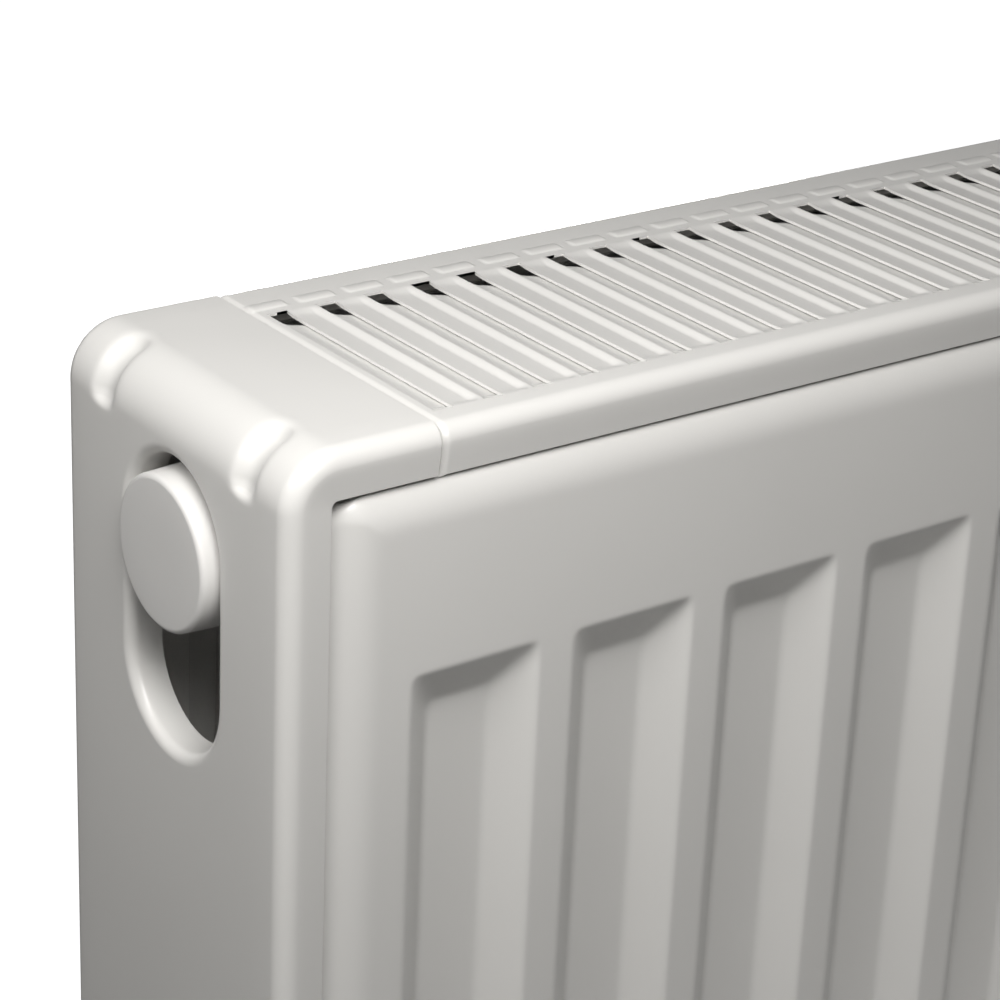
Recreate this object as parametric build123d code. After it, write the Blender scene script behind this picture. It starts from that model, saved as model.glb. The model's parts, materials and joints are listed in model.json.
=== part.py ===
"""Panel radiator with an integrated valve, as separate pieces, in millimetres.

Frame: X runs along the radiator with the valve at -X, Y runs to the wall, which is the plane Y = 0,
and Z is up. The origin is the centre of the four wall bracket holes, on the wall.
Places along the valve and the tappings are depths: they count inwards from the panel's end.
"""

import os
from math import cos, radians, sin, sqrt, tan

from build123d import *

# Whole radiator
panel_length = 900.0
panel_height = 600.0
panel_pack_depth = 108.0      # front face of the front panel to rear face of the rear panel
wall_gap = 30.0               # covers to the wall

# Pressed panel sheets
panel_sheet = 1.2
press_depth = 8.0
seam_lip = 3.0                # flat welded edge round each panel
face_round = 12.0             # bend between the face and the seam
panel_corner_round = 14.0
groove_pitch = 50.0
groove_mouth = 39.0
groove_wall_run = 10.0        # sideways run of a groove's wall over the press depth
groove_end_run = 12.0         # upward run of a groove's end over the press depth
groove_end_inset = 52.0       # panel edge to the groove's end, at the face
groove_side_margin = 30.0     # least width left beside the outermost grooves
groove_corner_round = 4.5
groove_floor_corner_round = 2.5
groove_mouth_round = 4.0

# Convectors
fin_sheet = 0.5
fin_depth = 26.0
fin_pitch = 25.0
fin_foot = 9.0
fin_lean = 2.0
fin_tee_gap = 18.0            # tees to the fins, along Z
fin_side_margin = 16.0

# Side covers
cover_sheet = 1.0
cover_depth = 107.0
cover_overhang = 6.0          # cover face beyond the panel's end
cover_rise = 13.0             # cover top above the panel's top edge
face_proud = 1.0              # front panel ahead of the cover's front flange
cover_bend = 15.0
cover_edge_round = 5.0
cover_side_flange = 13.0
cover_top_flange = 13.2
cover_top_length = 43.5
cover_inner_corner = 2.5
cover_tool_spare = 5.0        # inner form beyond the sheet's open ends
slot_opening = 43.0           # clear width inside the rolled rim
slot_straight = 37.5          # between the centres of the slot's round ends
slot_bend_gap = 0.5           # bend to the slot's rolled edge
rim_roll = 3.0
rim_depth = 10.0
dimple_radius = 5.5
dimple_depth = 2.8            # bend surface to the bottom of the dimple
dimple_tilt = 24.5            # angle of the dimple's axis from upright
dimple_inset = 20.0           # cover's front and rear edges to the dimples

# Top grille
grille_sheet = 0.8
grille_drop = 0.4             # grille surface under the cover's surface
grille_edge_round = 4.5
grille_flange = 13.4          # cover top to the grille's lower edge
grille_tuck = 4.0             # length that runs under each cover
grille_joggle = 2.0           # visible length of the lowered end
grille_lap = 2.0              # lowered end under the raised part
grille_step = 0.7
louvre_pitch = 15.0
louvre_opening = 6.0
louvre_length = 75.5
louvre_front_inset = 10.0
louvre_margin = 4.5           # seam to the first opening
slat_droop = 1.6              # slat's low edge under its crest
slat_flat = 2.0
slat_lap = 0.5
blade_angle = 30.0
blade_width = 6.2
blade_front_gap = 2.0
blade_rear_gap = 8.0
emboss_length = 11.5
emboss_width = 4.6
emboss_height = 0.4
emboss_gap = 3.0              # louvre's rear end to the embossed pad

# Tappings and tees
tapping_inset = 30.5          # panel edge to the tapping's axis
tapping_bore = 9.3            # radius inside a half inch pipe thread
tapping_thread = 11.0
thread_clearance = 0.1
boss_radius = 13.5
boss_recess = 11.0            # panel end to the boss face
tee_depth = 24.0              # panel end to the cross tube
tee_tube_radius = 13.0
tee_bore_radius = 9.0
seal_thickness = 1.0
seal_width = 3.0

# Bottom connection
nipple_spacing = 50.0
feed_depth = 52.0             # panel end to the feed nipple's axis
nipple_radius = 13.2          # three quarter inch pipe thread
nipple_bore = 9.5
nipple_thread = 12.0
nipple_bore_depth = 10.0
nipple_recess = 2.0           # panel's lower edge to the nipple's end
feed_collar = 10.0
riser_radius = 7.5
riser_wall = 1.0
riser_clearance = 0.1
riser_seat = 6.5              # length of the riser held in its sockets
bridge_sheet = 1.5
bridge_margin = 6.0

# Valve tee
valve_block_width = 32.0
valve_block_height = 32.0
valve_block_round = 3.0
valve_block_wall = 6.0
outlet_chamber = 16.0
partition = 7.0
inlet_chamber = 16.0
chamber_bore = 10.0
inlet_bore = 8.0
outlet_tube_radius = 11.0
outlet_tube_bore = 7.5
outlet_shift = 1.0            # outlet tube ahead of its chamber's middle

# Valve insert
head_hex = 24.0
head_hex_length = 2.5
head_radius = 14.9            # M30 x 1.5 head thread
head_length = 8.5
ring_recess = 3.2
ring_radius = 10.6
ring_bore = 5.0
ring_stand = 1.2
ring_clearance = 0.2
ring_notch = 1.6
ring_notches = 6
insert_bore = 6.3
gland_gap = 0.2
gland_length = 3.4
gland_clearance = 0.1
spring_chamber = 17.8
guide_wall = 3.0
pin_radius = 2.0
pin_clearance = 0.06
pin_stand = 3.0               # pin tip beyond the insert's head
pin_travel = 2.5
pin_tip_round = 0.7
collar_radius = 5.8
collar_length = 2.0
cage_radius = 8.2
cage_bore = 6.5
cage_window = 7.0
cage_rib = 2.0
nose_clearance = 0.2
seat_bore = 4.8
disc_radius = 5.6
disc_thickness = 2.5
carrier_step = 1.0            # carrier inside the disc's rim, and its thickness
closed_gap = 0.3
spring_radius = 4.6
spring_wire = 0.55
spring_turns = 5.0

# Protective cap
cap_radius = 20.7
cap_skirt_radius = 21.2
cap_bore_clearance = 0.2
cap_proud = 3.3               # cap face beyond the cover's face
cap_wall = 2.6
cap_length = 16.0
cap_face_round = 1.6
pusher_radius = 4.0

# Air vent
vent_flange_radius = 12.0
vent_flange = 3.5
vent_stub_radius = 6.0
vent_stub = 6.0
vent_bore = 14.5              # depth of the screw's hole from the stub's end
vent_seat_bore = 1.5
vent_screw_radius = 3.5
vent_screw_length = 14.0
vent_square = 5.0
vent_square_length = 4.0
vent_port = 1.2
nozzle_radius = 9.5
nozzle_gap = 0.08             # running clearance on the stub
nozzle_end_gap = 0.3
spout_radius = 2.6
spout_length = 3.0

# Blanking plugs
plug_hex = 22.0
plug_flange = 4.0
plug_socket = 10.0
plug_socket_depth = 8.0

# Spring clips
clip_wall = 0.5
clip_length = 14.0
clip_bite = 2.8               # length of seam gripped by the clip
grille_clip_inset = 90.0
cover_clip_inset = 150.0

# Wall hanging
lug_offset = 275.0            # lug axis from the radiator's middle
lug_sheet = 2.0
lug_inner_width = 16.0
lug_inner_depth = 6.0
lug_foot = 8.0
lug_height = 30.0
lug_edge_gap = 18.0           # panel edge to the lug
bracket_sheet = 3.0
bracket_leg = 35.0
bracket_reach = 20.0          # wall to the web's front edge
bracket_hole_spacing = 460.0
bracket_slot_length = 16.0
bracket_hole_radius = 4.0
bracket_top_margin = 16.0
finger_depth = 3.0
finger_drop = 4.0             # finger's end under the lug's closed top
arm_height = 10.0
arm_gap = 6.0                 # lug to the arm under it
sleeve_slack = 0.3

# Derived places
cover_rear_y = -wall_gap
cover_front_y = cover_rear_y - cover_depth
front_face_y = cover_front_y - face_proud
rear_face_y = front_face_y + panel_pack_depth
half_panel = press_depth + panel_sheet
front_mid_y = front_face_y + half_panel
rear_mid_y = rear_face_y - half_panel
front_inner_y = front_mid_y + half_panel
rear_inner_y = rear_mid_y - half_panel
axis_y = (front_face_y + rear_face_y) / 2
end_x = panel_length / 2
cover_x = end_x + cover_overhang
seam_x = cover_x - cover_top_length
top_z = panel_height / 2
cover_top_z = top_z + cover_rise
axis_z = top_z - tapping_inset
feed_x = -(end_x - feed_depth)
return_x = feed_x + nipple_spacing
nipple_top_z = -top_z + nipple_recess + nipple_thread

# Depths along the valve insert
seat_face = boss_recess - seal_thickness
hex_front = seat_face - head_hex_length
head_front = hex_front - head_length
recess_floor = head_front + ring_recess
gland_front = recess_floor + gland_gap
gland_back = gland_front + gland_length
collar_front = gland_back + gland_gap
collar_back = collar_front + collar_length
guide_front = recess_floor + spring_chamber
guide_back = guide_front + guide_wall
chamber_front = boss_recess + tapping_thread
chamber_back = chamber_front + outlet_chamber
partition_back = chamber_back + partition
inlet_back = partition_back + inlet_chamber
disc_back = chamber_back - closed_gap - pin_travel
disc_front = disc_back - disc_thickness
pin_tip = head_front - pin_stand
cap_face = end_x - cover_x - cap_proud
cap_floor = cap_face + cap_wall
outlet_depth = (chamber_front + chamber_back) / 2 - outlet_shift


def block(x0, x1, y0, y1, z0, z1):
    """Box between two corners."""
    return Pos((x0 + x1) / 2, (y0 + y1) / 2, (z0 + z1) / 2) * Box(abs(x1 - x0), abs(y1 - y0), abs(z1 - z0))


def rod_x(radius, x0, x1, y=axis_y, z=axis_z):
    """Cylinder along X."""
    return Pos((x0 + x1) / 2, y, z) * Rot(0, 90, 0) * Cylinder(radius, abs(x1 - x0))


def rod_y(radius, y0, y1, x, z):
    """Cylinder along Y."""
    return Pos(x, (y0 + y1) / 2, z) * Rot(90, 0, 0) * Cylinder(radius, abs(y1 - y0))


def rod_z(radius, z0, z1, x, y=axis_y):
    """Cylinder along Z."""
    return Pos(x, y, (z0 + z1) / 2) * Cylinder(radius, abs(z1 - z0))


def hex_x(across_flats, x0, x1, z=axis_z):
    """Hexagonal prism along X, on the tapping axis."""
    profile = Plane.YZ * RegularPolygon(across_flats / 2, 6, major_radius=False)
    return Pos(min(x0, x1), axis_y, z) * extrude(profile, abs(x1 - x0))


def left_rod(radius, depth0, depth1, z=axis_z):
    """Cylinder along X between two depths from the left end."""
    return rod_x(radius, depth0 - end_x, depth1 - end_x, z=z)


def right_rod(radius, depth0, depth1, z=axis_z):
    """Cylinder along X between two depths from the right end."""
    return rod_x(radius, end_x - depth0, end_x - depth1, z=z)


def mirror_x(shape):
    """The same piece at the other end."""
    return mirror(shape, about=Plane.YZ)


# Water panels

def groove_centres():
    """X places of the vertical grooves."""
    count = int((panel_length - 2 * groove_side_margin - groove_mouth) // groove_pitch) + 1
    return [(i - (count - 1) / 2) * groove_pitch for i in range(count)]


def groove_tool(inset):
    """Tapered recess of one groove, for the sheet's outside, or for its inside at the given inset."""
    slope_x = groove_wall_run / press_depth
    slope_z = groove_end_run / press_depth
    length = panel_height - 2 * groove_end_inset

    def outline(depth, corner):
        width = groove_mouth - 2 * slope_x * depth + 2 * inset * sqrt(1 + slope_x**2)
        height = length - 2 * slope_z * depth + 2 * inset * sqrt(1 + slope_z**2)
        return Plane((0, depth, 0), x_dir=(1, 0, 0), z_dir=(0, 1, 0)) * RectangleRounded(width, height, corner)

    mouth = outline(inset - 1.0, groove_corner_round + inset)
    floor = outline(press_depth + inset, groove_floor_corner_round + inset)
    return loft([mouth, floor], ruled=True)


def pressed_form(inset, back):
    """Raised and grooved body of a sheet, from its face to Y = back, set in by inset."""
    length = panel_length - 2 * seam_lip - 2 * inset
    height = panel_height - 2 * seam_lip - 2 * inset
    deep = 2 * face_round
    body = Pos(0, inset + deep / 2, 0) * Box(length, deep, height)
    body = fillet(body.edges().filter_by(Axis.Y), panel_corner_round - inset)
    body = fillet(body.faces().sort_by(Axis.Y)[0].edges(), face_round - inset)
    body -= block(-end_x, end_x, back, back + deep, -top_z, top_z)
    tool = groove_tool(inset)
    return body - [Pos(x, 0, 0) * tool for x in groove_centres()]


def soften_grooves(body):
    """Rounds the edges where the grooves leave the face at Y = 0."""
    reach_x = end_x - seam_lip - face_round - 0.1
    reach_z = top_z - groove_end_inset + 0.1

    def at_mouth(edge):
        box = edge.bounding_box()
        return box.max.Y < 0.01 and abs(edge.center().X) < reach_x and max(box.max.Z, -box.min.Z) < reach_z

    return fillet(body.edges().filter_by(at_mouth), groove_mouth_round)


def pressed_sheet():
    """One pressed steel sheet with its face at Y = 0 and its seam behind it."""
    outside = soften_grooves(pressed_form(0.0, half_panel))
    seam = block(-end_x, end_x, press_depth, half_panel, -top_z, top_z)
    seam = fillet(seam.edges().filter_by(Axis.Y), panel_corner_round)
    return outside + seam - pressed_form(panel_sheet, half_panel + 1)


def inner_sheet(sheet, y0, y1):
    """An inner sheet with the round holes on which the tees are welded."""
    ports = [(end_x - tee_depth, axis_z), (end_x - tee_depth, -axis_z)]
    ports += [(tee_depth - end_x, -axis_z), (return_x, -axis_z)]
    holes = [rod_y(tee_bore_radius, y0, y1, x, z) for x, z in ports]
    holes.append(rod_y(outlet_tube_bore, y0, y1, outlet_depth - end_x, axis_z))
    return sheet - holes


# Convectors

def fin_outline(length):
    """Closed outline of the folded fin sheet in the XY plane, with its feet on Y = 0."""
    count = int((length - fin_foot) // fin_pitch) + 1
    crest = fin_pitch - fin_foot - 2 * fin_lean
    rise = fin_depth - fin_sheet
    shift = fin_sheet * (sqrt(fin_lean**2 + rise**2) - fin_lean) / rise
    near = []
    far = []
    for i in range(count):
        left = (i - (count - 1) / 2) * fin_pitch - fin_foot / 2
        right = left + fin_foot
        first = i == 0
        last = i == count - 1
        near += [(left, 0), (right, 0)]
        far += [(left if first else left + shift, fin_sheet), (right if last else right - shift, fin_sheet)]
        if not last:
            near += [(right + fin_lean + shift, rise), (right + fin_lean + crest - shift, rise)]
            far += [(right + fin_lean, fin_depth), (right + fin_lean + crest, fin_depth)]
    return near + far[::-1]


def convector():
    """Folded fin sheet that stands on the plane Y = 0 and reaches to +Y."""
    height = panel_height - 2 * (tapping_inset + tee_tube_radius + fin_tee_gap)
    profile = make_face(Polyline(*fin_outline(panel_length - 2 * fin_side_margin), close=True))
    return Pos(0, 0, -height / 2) * extrude(profile, height, dir=(0, 0, 1))


# Side covers

def slot_middle():
    """Height of the middle of the upper slot."""
    upper_centre = cover_top_z - cover_bend - slot_bend_gap - rim_roll - slot_opening / 2
    return upper_centre - slot_straight / 2


def cover_slots(inset, depth):
    """Upright round-ended slots for the upper and lower tappings, cut from the cover's face inwards."""
    radius = slot_opening / 2 + inset
    profile = Plane.YZ * SlotCenterToCenter(slot_straight, 2 * radius, rotation=90)
    tool = extrude(profile, depth + 1)
    return [Pos(-cover_x - 1, axis_y, z) * tool for z in (slot_middle(), -slot_middle())]


def dimple_tools(inset):
    """Round troughs pressed across the bend, near the front and the rear."""
    out = cover_bend - dimple_depth + dimple_radius
    x = -cover_x + cover_bend - out * cos(radians(dimple_tilt))
    z = cover_top_z - cover_bend + out * sin(radians(dimple_tilt))
    trough = Rot(0, dimple_tilt, 0) * Cylinder(dimple_radius + inset, 4 * cover_bend)
    return [Pos(x, y, z) * trough for y in (cover_front_y + dimple_inset, cover_rear_y - dimple_inset)]


def cover_form(inset):
    """Solid of the left cover's outside, or of its inside when set in by the sheet."""
    spare = cover_tool_spare if inset else 0.0
    face = -cover_x + inset
    body = block(face, -seam_x + spare, cover_front_y + inset, cover_rear_y - inset,
                 -top_z - spare, cover_top_z - inset)
    bend = body.edges().filter_by(Axis.Y).sort_by(lambda edge: edge.center().Z - edge.center().X)[-1]
    body = fillet(bend, cover_bend - inset)

    def along_sides(edge):
        box = edge.bounding_box()
        on_side = box.max.Y - box.min.Y < 0.01
        inner = box.min.X > -seam_x + spare - 0.01
        return on_side and not inner and box.max.Z > -top_z - spare + 0.01

    body = fillet(body.edges().filter_by(along_sides), cover_edge_round - inset)
    body -= cover_slots(inset, rim_depth if inset else rim_depth + 1)

    def at_rim(edge):
        box = edge.bounding_box()
        on_face = abs(box.min.X - face) < 0.01 and box.max.X - box.min.X < 0.01
        beside = max(abs(box.min.Y - axis_y), abs(box.max.Y - axis_y)) < slot_opening / 2 + inset + 0.1
        return on_face and beside

    body = fillet(body.edges().filter_by(at_rim), rim_roll - inset)
    return body - dimple_tools(inset)


def side_cover():
    """Left side cover: a bent sheet with flanges, rolled slots and two dimples."""
    window = block(-cover_x + cover_side_flange, 0, cover_front_y - 1, cover_rear_y + 1,
                   -top_z - 1, cover_top_z - cover_top_flange)
    corner = window.edges().filter_by(Axis.Y).sort_by(lambda edge: edge.center().Z - edge.center().X)[-1]
    window = fillet(corner, cover_inner_corner)
    return cover_form(0.0) - cover_form(cover_sheet) - window


# Top grille

def channel(half_length, inset):
    """Inverted channel of grille sheet with rounded upper edges."""
    def form(extra, spare):
        low = cover_top_z - grille_flange - spare
        body = block(-half_length - spare, half_length + spare, cover_front_y + inset + extra,
                     cover_rear_y - inset - extra, low, cover_top_z - inset - extra)
        upper = body.edges().filter_by(Axis.X).sort_by(Axis.Z)[-2:]
        return fillet(upper, grille_edge_round - extra)

    return form(0.0, 0.0) - form(grille_sheet, 1.0)


def louvre_places():
    """X places of the louvre openings' left edges."""
    room = 2 * (seam_x - louvre_margin) - louvre_opening
    count = int((room + 0.01) // louvre_pitch) + 1
    start = -(louvre_opening + (count - 1) * louvre_pitch) / 2
    return [start + i * louvre_pitch for i in range(count)]


def slat_profile():
    """Section of one slat in the XZ plane, its crest ending at X = 0 and its top at Z = 0."""
    width = louvre_pitch - louvre_opening
    run = width - slat_flat
    radius = (run**2 + slat_droop**2) / (2 * slat_droop)
    inner = radius - grille_sheet

    def at(r, share):
        x = -run * share
        return (-slat_flat + x * r / radius, -radius + sqrt(radius**2 - x**2) * r / radius)

    top = ThreePointArc(at(radius, 1), at(radius, 0.5), at(radius, 0))
    under = ThreePointArc(at(inner, 0), at(inner, 0.5), at(inner, 1))
    crest = Polyline(top @ 1, (0, 0), (0, -grille_sheet), under @ 0)
    return Plane.XZ * make_face([top, crest, under, Line(under @ 1, top @ 0)])


def blade_profile():
    """Section of the blade that runs down from a crest under the next slat."""
    angle = radians(blade_angle)
    tip = (blade_width * cos(angle), -blade_width * sin(angle))
    under = (tip[0] - grille_sheet * sin(angle), tip[1] - grille_sheet * cos(angle))
    bend = (-grille_sheet * tan(angle / 2), -grille_sheet)
    root = (-slat_flat / 2, 0)
    points = [root, (0, 0), tip, under, bend, (root[0], -grille_sheet)]
    return Plane.XZ * make_face(Polyline(*points, close=True))


def top_grille():
    """Louvred top grille with flanges and lowered ends."""
    raised = channel(seam_x - grille_joggle, grille_drop)
    lowered = channel(seam_x + grille_tuck, grille_drop + grille_step)
    middle = seam_x - grille_joggle - grille_lap
    lowered -= block(-middle, middle, cover_front_y, cover_rear_y, -top_z, cover_top_z)
    surface = cover_top_z - grille_drop
    places = louvre_places()
    front = cover_front_y + louvre_front_inset
    rear = front + louvre_length
    window = block(places[0], places[-1] + louvre_opening, front, rear, surface - 2, surface + 1)
    slat = extrude(slat_profile(), louvre_length + 2 * slat_lap, dir=(0, 1, 0))
    blade = extrude(blade_profile(), louvre_length - blade_front_gap - blade_rear_gap, dir=(0, 1, 0))
    slats = [Pos(x, front - slat_lap, surface) * slat for x in places[1:]]
    blades = [Pos(x, front + blade_front_gap, surface) * blade for x in places]
    pad = Box(emboss_length, emboss_width, 2 * emboss_height)
    pads = [Pos(x + louvre_opening / 2, rear + emboss_gap + emboss_width / 2, surface) * pad for x in places]
    return raised + lowered - window + slats + blades + pads


# Tees and bottom connection

def tee(x, boss_end, z):
    """Tube between the panels with a threaded boss along X."""
    body = rod_y(tee_tube_radius, front_inner_y, rear_inner_y, x, z) + rod_x(boss_radius, x, boss_end, z=z)
    body -= rod_y(tee_bore_radius, front_inner_y, rear_inner_y, x, z)
    return body - rod_x(tapping_bore, x, boss_end, z=z)


def return_tee():
    """Tube between the panels with a boss for the return nipple under it."""
    body = rod_y(tee_tube_radius, front_inner_y, rear_inner_y, return_x, -axis_z)
    body += rod_z(boss_radius, nipple_top_z, -axis_z, return_x)
    body -= rod_y(tee_bore_radius, front_inner_y, rear_inner_y, return_x, -axis_z)
    return body - rod_z(tapping_bore, nipple_top_z, -axis_z, return_x)


def return_nipple():
    """Threaded stub welded into the return tee."""
    low = -top_z + nipple_recess
    body = rod_z(nipple_radius, low, nipple_top_z, return_x)
    body += rod_z(tapping_bore - thread_clearance, nipple_top_z, nipple_top_z + riser_seat, return_x)
    body -= rod_z(nipple_bore, low, low + nipple_bore_depth, return_x)
    return body - rod_z(outlet_tube_bore, low, -axis_z, return_x)


def feed_nipple():
    """Threaded stub with the riser's socket in its collar."""
    low = -top_z + nipple_recess
    top = nipple_top_z + feed_collar
    body = rod_z(nipple_radius, low, nipple_top_z, feed_x) + rod_z(boss_radius, nipple_top_z, top, feed_x)
    body -= rod_z(nipple_bore, low, low + nipple_bore_depth, feed_x)
    body -= rod_z(riser_radius - riser_wall, low, top, feed_x)
    return body - rod_z(riser_radius + riser_clearance, top - riser_seat, top, feed_x)


def connection_bridge():
    """Plate that holds the two bottom connections at their spacing."""
    half = boss_radius + bridge_margin
    low = nipple_top_z
    plate = block(feed_x - half, return_x + half, axis_y - half, axis_y + half, low, low + bridge_sheet)
    plate = fillet(plate.edges().filter_by(Axis.Z), bridge_margin)
    holes = [rod_z(boss_radius + thread_clearance, low, low + bridge_sheet, x) for x in (feed_x, return_x)]
    return plate - holes


def riser_tube():
    """Feed pipe from the bottom connection up to the valve tee."""
    low = nipple_top_z + feed_collar - riser_seat
    high = axis_z - valve_block_height / 2 + riser_seat
    return rod_z(riser_radius, low, high, feed_x) - rod_z(riser_radius - riser_wall, low, high, feed_x)


def valve_tee():
    """Block between the panels with the inlet chamber, the partition and the outlet chamber."""
    half_y = valve_block_width / 2
    half_z = valve_block_height / 2
    body = block(boss_recess - end_x, inlet_back + valve_block_wall - end_x,
                 axis_y - half_y, axis_y + half_y, axis_z - half_z, axis_z + half_z)
    body = fillet(body.edges().filter_by(Axis.X), valve_block_round)
    body += rod_y(outlet_tube_radius, front_inner_y, rear_inner_y, outlet_depth - end_x, axis_z)
    body -= left_rod(tapping_bore, boss_recess, chamber_front)
    body -= left_rod(chamber_bore, chamber_front, chamber_back)
    body -= left_rod(cage_bore + nose_clearance, chamber_back, partition_back)
    body -= left_rod(inlet_bore, partition_back, inlet_back)
    body -= rod_y(outlet_tube_bore, front_inner_y, rear_inner_y, outlet_depth - end_x, axis_z)
    seat_z = axis_z - half_z + riser_seat
    body -= rod_z(riser_radius + riser_clearance, axis_z - half_z, seat_z, feed_x)
    return body - rod_z(riser_radius - riser_wall, seat_z, axis_z, feed_x)


# Valve insert and cap

def insert_body():
    """Brass valve insert: head thread, hexagon, shank, windowed cage and nose."""
    body = left_rod(head_radius, head_front, hex_front)
    body += hex_x(head_hex, hex_front - end_x, seat_face - end_x)
    body += left_rod(tapping_bore - thread_clearance, seat_face, chamber_front)
    body += left_rod(cage_radius, chamber_front, chamber_back)
    body += left_rod(cage_bore, chamber_back, partition_back)
    body -= left_rod(ring_radius + ring_clearance, head_front, recess_floor)
    body -= left_rod(insert_bore, recess_floor, guide_front)
    body -= left_rod(pin_radius + pin_clearance, guide_front, guide_back)
    body -= left_rod(cage_bore - nose_clearance, guide_back, chamber_back)
    body -= left_rod(seat_bore, chamber_back, partition_back)
    half = cage_window / 2
    x0 = guide_back + cage_rib - end_x
    x1 = chamber_back - cage_rib - end_x
    reach = chamber_bore
    body -= block(x0, x1, axis_y - reach, axis_y + reach, axis_z - half, axis_z + half)
    return body - block(x0, x1, axis_y - half, axis_y + half, axis_z - reach, axis_z + reach)


def washer(rod, z):
    """Flat seal between a boss and the flange screwed against it."""
    inner = tapping_bore
    return rod(inner + seal_width, seat_face, boss_recess, z) - rod(inner, seat_face, boss_recess, z)


def gland_nut():
    """Ring that keeps the spring collar in the insert."""
    body = left_rod(insert_bore - gland_clearance, gland_front, gland_back)
    return body - left_rod(pin_radius + pin_clearance, gland_front, gland_back)


def valve_pin():
    """Spindle with its spring collar and the carrier for the disc."""
    body = left_rod(pin_radius, pin_tip, disc_front)
    body += left_rod(collar_radius, collar_front, collar_back)
    body += left_rod(disc_radius - carrier_step, disc_front - carrier_step, disc_front)
    tip = body.edges().filter_by(GeomType.CIRCLE).sort_by(Axis.X)[0]
    return fillet(tip, pin_tip_round)


def valve_disc():
    """Rubber disc that closes on the seat."""
    return left_rod(disc_radius, disc_front, disc_back)


def valve_spring():
    """Return spring round the spindle."""
    start = collar_back + spring_wire - end_x
    length = guide_front - collar_back - 2 * spring_wire
    middle = (start, axis_y, axis_z)
    path = Helix(length / spring_turns, length, spring_radius, center=middle, direction=(1, 0, 0))
    section = Plane(path @ 0, z_dir=path % 0) * Circle(spring_wire)
    return sweep(section, path)


def presetting_ring():
    """Adjusting ring round the pin, with key notches."""
    body = left_rod(ring_radius, head_front - ring_stand, recess_floor - ring_clearance)
    body -= left_rod(ring_bore, head_front - ring_stand, recess_floor)
    front = head_front - ring_stand - end_x
    notch = block(front, front + ring_stand, ring_radius - ring_notch, ring_radius + 1, -ring_notch, ring_notch)
    turns = [Pos(0, axis_y, axis_z) * Rot(i * 360 / ring_notches, 0, 0) * notch for i in range(ring_notches)]
    return body - turns


def protective_cap():
    """Plain screw cap whose inner stud presses the valve pin."""
    middle = cap_face + cap_length / 2 - end_x
    body = Pos(middle, axis_y, axis_z) * Rot(0, 90, 0) * Cone(cap_radius, cap_skirt_radius, cap_length)
    rim = body.edges().filter_by(GeomType.CIRCLE).sort_by(Axis.X)[0]
    body = fillet(rim, cap_face_round)
    body -= left_rod(head_radius + cap_bore_clearance, cap_floor, cap_face + cap_length)
    return body + left_rod(pusher_radius, cap_floor, pin_tip)


# Air vent and plugs

def vent_plug():
    """Vent body with a stub for the nozzle and a seat for the screw."""
    stub_front = seat_face - vent_flange - vent_stub
    body = right_rod(vent_flange_radius, seat_face - vent_flange, seat_face)
    body += right_rod(vent_stub_radius, stub_front, seat_face)
    body += right_rod(tapping_bore - thread_clearance, seat_face, chamber_front)
    body -= right_rod(vent_screw_radius + pin_clearance, stub_front, stub_front + vent_bore)
    body -= right_rod(vent_seat_bore, stub_front, chamber_front)
    middle = end_x - stub_front - vent_stub / 2
    return body - rod_z(vent_port, axis_z - vent_stub_radius - 1, axis_z, middle)


def vent_screw():
    """Vent screw with a square for the key."""
    stub_front = seat_face - vent_flange - vent_stub
    tip = stub_front + vent_screw_length
    body = right_rod(vent_screw_radius, stub_front, tip)
    half = vent_square / 2
    x = end_x - stub_front
    return body + block(x, x + vent_square_length, axis_y - half, axis_y + half, axis_z - half, axis_z + half)


def vent_nozzle():
    """Ring that swivels on the vent's stub and points its spout down."""
    front = seat_face - vent_flange - vent_stub
    back = front + vent_stub - nozzle_end_gap
    middle = end_x - front - vent_stub / 2
    low = axis_z - nozzle_radius - spout_length
    body = right_rod(nozzle_radius, front, back) + rod_z(spout_radius, low, axis_z - vent_stub_radius - 1, middle)
    body -= right_rod(vent_stub_radius + nozzle_gap, front, back)
    return body - rod_z(vent_port, low, axis_z, middle)


def blanking_plug():
    """Hexagon plug for the lower left tapping."""
    front = seat_face - plug_flange
    body = hex_x(plug_hex, front - end_x, seat_face - end_x, z=-axis_z)
    body += left_rod(tapping_bore - thread_clearance, seat_face, chamber_front, z=-axis_z)
    return body - hex_x(plug_socket, front - end_x, front + plug_socket_depth - end_x, z=-axis_z)


# Clips

def grille_clips():
    """Spring clips on the panels' upper seams that carry the grille."""
    half = clip_length / 2
    grip = panel_sheet + clip_wall
    under = cover_top_z - grille_drop - grille_sheet
    clips = []
    for x in (grille_clip_inset - seam_x, 0, seam_x - grille_clip_inset):
        for y in (front_mid_y, rear_mid_y):
            clip = block(x - half, x + half, y - grip, y + grip, top_z - clip_bite, top_z + clip_bite)
            clip += block(x - half, x + half, y - panel_sheet, y + panel_sheet, top_z, under)
            clip -= block(x - half, x + half, y - panel_sheet, y + panel_sheet, 0, top_z)
            clips.append(clip)
    return Compound(children=clips)


def cover_clips():
    """Spring clips on the panels' side seams that hold the covers."""
    half = clip_length / 2
    grip = panel_sheet + clip_wall
    inside = cover_x - cover_sheet
    clips = []
    for side in (-1, 1):
        for y in (front_mid_y, rear_mid_y):
            for z in (cover_clip_inset - top_z, top_z - cover_clip_inset):
                clip = block(side * (end_x - clip_bite), side * inside, y - grip, y + grip, z - half, z + half)
                clip -= block(0, side * end_x, y - panel_sheet, y + panel_sheet, z - half, z + half)
                clips.append(clip)
    return Compound(children=clips)


# Wall hanging

def lug_floors():
    """Heights of the lugs' lower edges."""
    return (top_z - lug_edge_gap - lug_height, -top_z + lug_edge_gap)


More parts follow.
